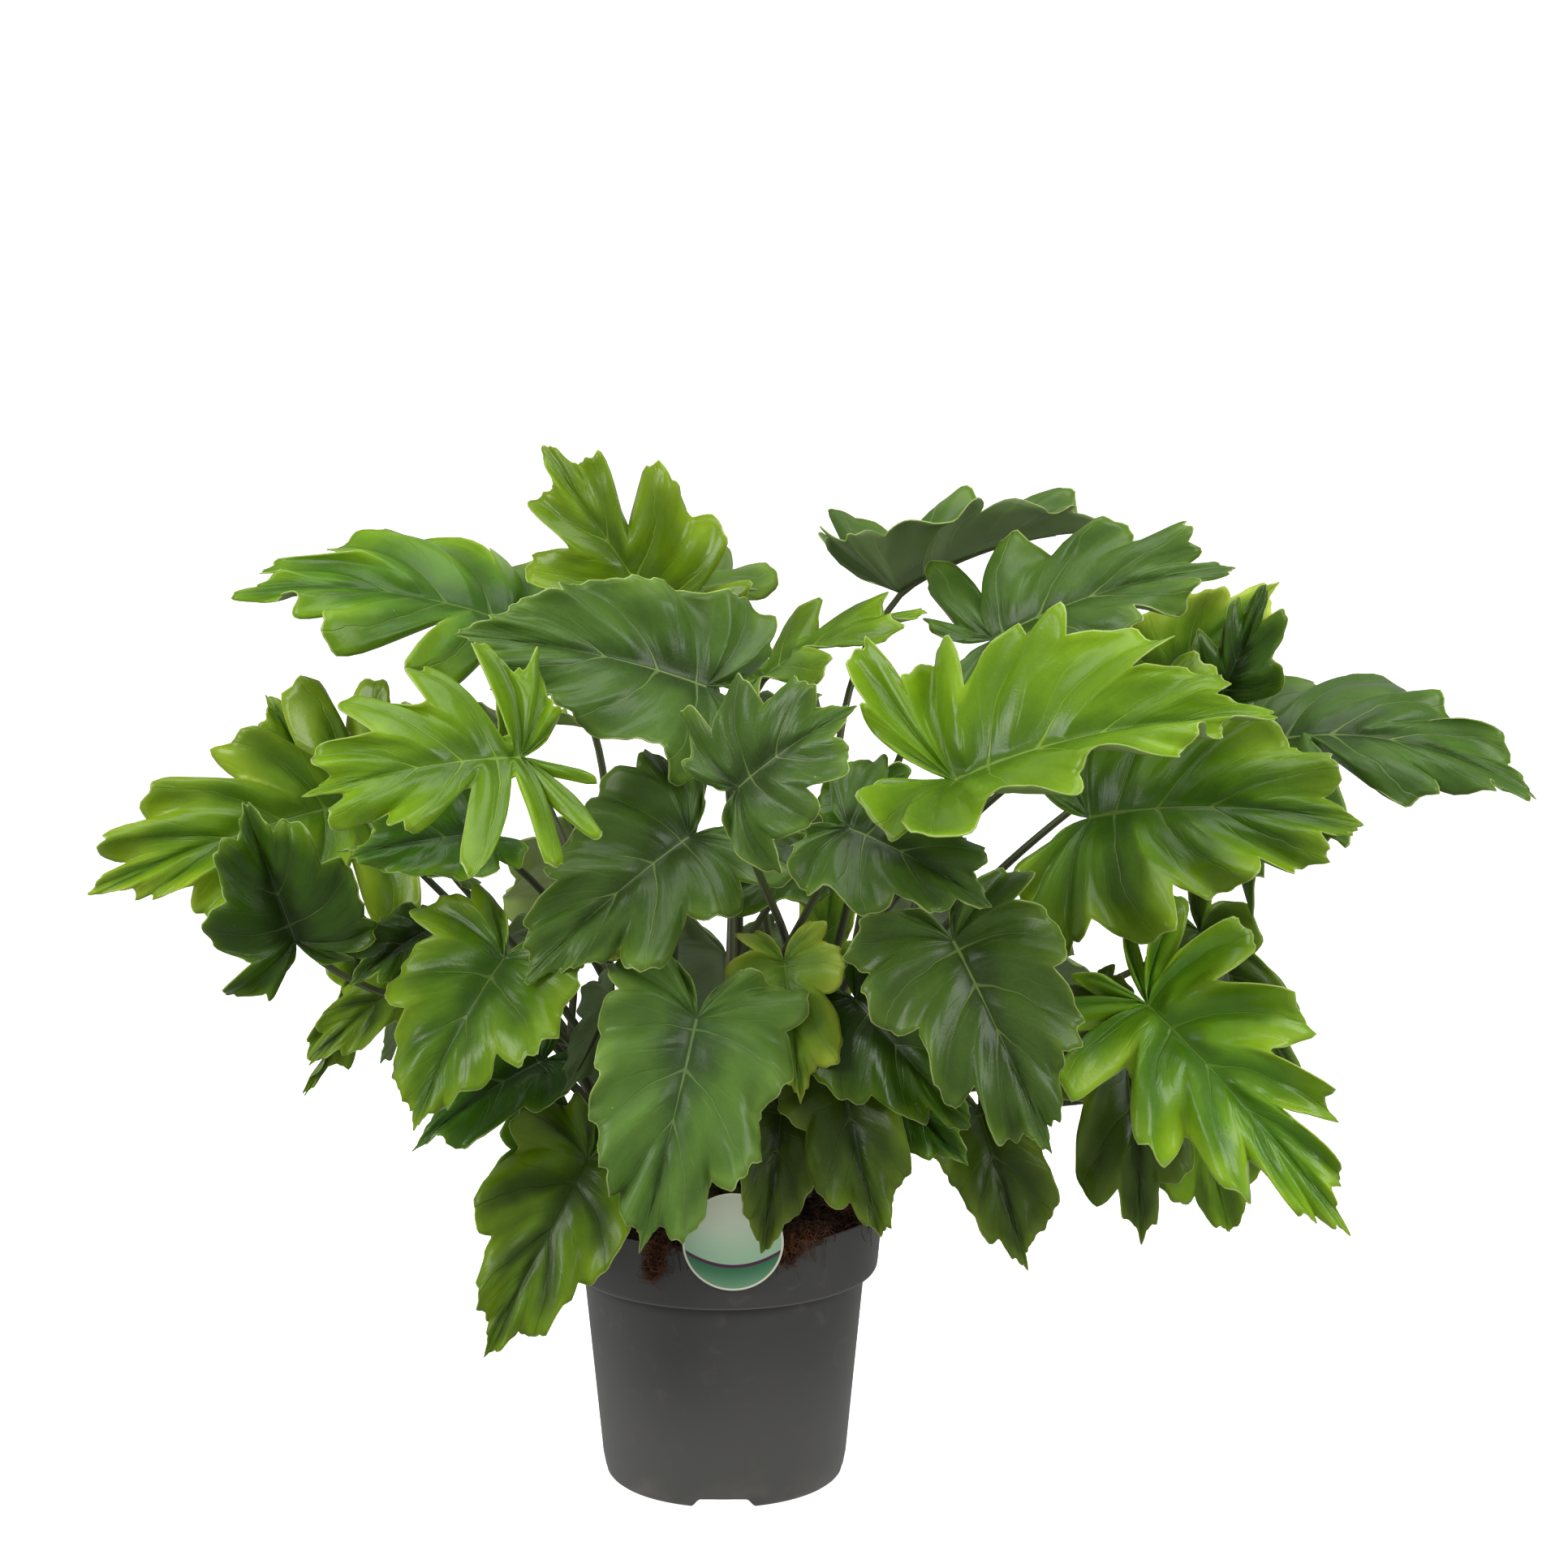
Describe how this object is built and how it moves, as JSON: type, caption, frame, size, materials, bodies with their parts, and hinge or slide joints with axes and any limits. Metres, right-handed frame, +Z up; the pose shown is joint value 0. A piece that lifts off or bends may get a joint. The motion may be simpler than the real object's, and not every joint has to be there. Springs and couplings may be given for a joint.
{
  "type": "potted philodendron plant",
  "caption": "Bushy philodendron with lobed wavy leaves on arching petioles, rising from short stems in a dark nursery pot of soil, with a round plant label at the rim.",
  "frame": {"origin": "centre of the pot's foot, on the surface that the pot stands on", "axes": "+Z up along the pot's axis, -Y towards the front of the plant with its label, +X to the plant's right in the picture"},
  "size_m": [0.927, 0.5905, 0.6875],
  "materials": {
    "leaf_mid": "glossy green leaf, paler below",
    "leaf_dark": "glossy dark green leaf, paler below",
    "leaf_bright": "glossy bright green leaf with yellow-green edges",
    "leaf_yellow": "satin yellow-green leaf",
    "stem": "rough green-brown stem with leaf scars",
    "soil": "loose dark potting soil with brown fibres",
    "pot": "dark grey moulded plastic, softly satin",
    "plant_label": "printed pale green card under clear film"
  },
  "bodies": {
    "root": {"pot": "pot", "soil": "soil", "plant_label": "plant_label", "stem_centre": "stem", "stem_left": "stem", "stem_right": "stem", "leaf_pot_front": "leaf_mid", "leaf_under_folded": "leaf_mid", "leaf_pot_right": "leaf_mid", "leaf_back_low": "leaf_dark", "leaf_front_centre": "leaf_mid", "leaf_yellow_middle": "leaf_mid", "leaf_folded_centre": "leaf_mid", "leaf_yellow_front": "leaf_mid", "leaf_front_right": "leaf_mid", "leaf_edge_middle": "leaf_mid", "leaf_dark_middle": "leaf_mid", "leaf_behind_lobed": "leaf_mid", "leaf_lobed_middle": "leaf_mid", "leaf_back_centre": "leaf_dark", "leaf_glossy_middle": "leaf_mid", "leaf_fingered": "leaf_mid", "leaf_top_narrow": "leaf_mid", "leaf_top_middle": "leaf_mid", "leaf_back_top": "leaf_mid", "leaf_crest": "leaf_mid", "leaf_low_left": "leaf_mid", "leaf_low_left_behind": "leaf_mid", "leaf_under_left": "leaf_mid", "leaf_back_low_left": "leaf_mid", "leaf_small_left": "leaf_mid", "leaf_grey_under": "leaf_mid", "leaf_twisted_left": "leaf_mid", "leaf_left_point": "leaf_mid", "leaf_back_mid_left": "leaf_mid", "leaf_front_left": "leaf_mid", "leaf_curled_left": "leaf_mid", "leaf_dark_left": "leaf_mid", "leaf_flat_left": "leaf_mid", "leaf_far_left": "leaf_mid", "leaf_far_left_behind": "leaf_mid", "leaf_under_fingered": "leaf_mid", "leaf_back_left": "leaf_mid", "leaf_top_left": "leaf_mid", "leaf_hanging_right": "leaf_mid", "leaf_low_right_outer": "leaf_mid", "leaf_low_right_inner": "leaf_mid", "leaf_between_right": "leaf_mid", "leaf_low_right": "leaf_mid", "leaf_back_low_right": "leaf_mid", "leaf_behind_right": "leaf_mid", "leaf_back_mid_right": "leaf_mid", "leaf_big_right": "leaf_mid", "leaf_back_right": "leaf_mid", "leaf_far_right": "leaf_mid", "leaf_bright_right": "leaf_mid", "leaf_dark_fingers": "leaf_mid", "leaf_yellow_right": "leaf_mid", "leaf_dark_top_right": "leaf_mid", "leaf_top_right": "leaf_mid"}
  },
  "joints": []
}
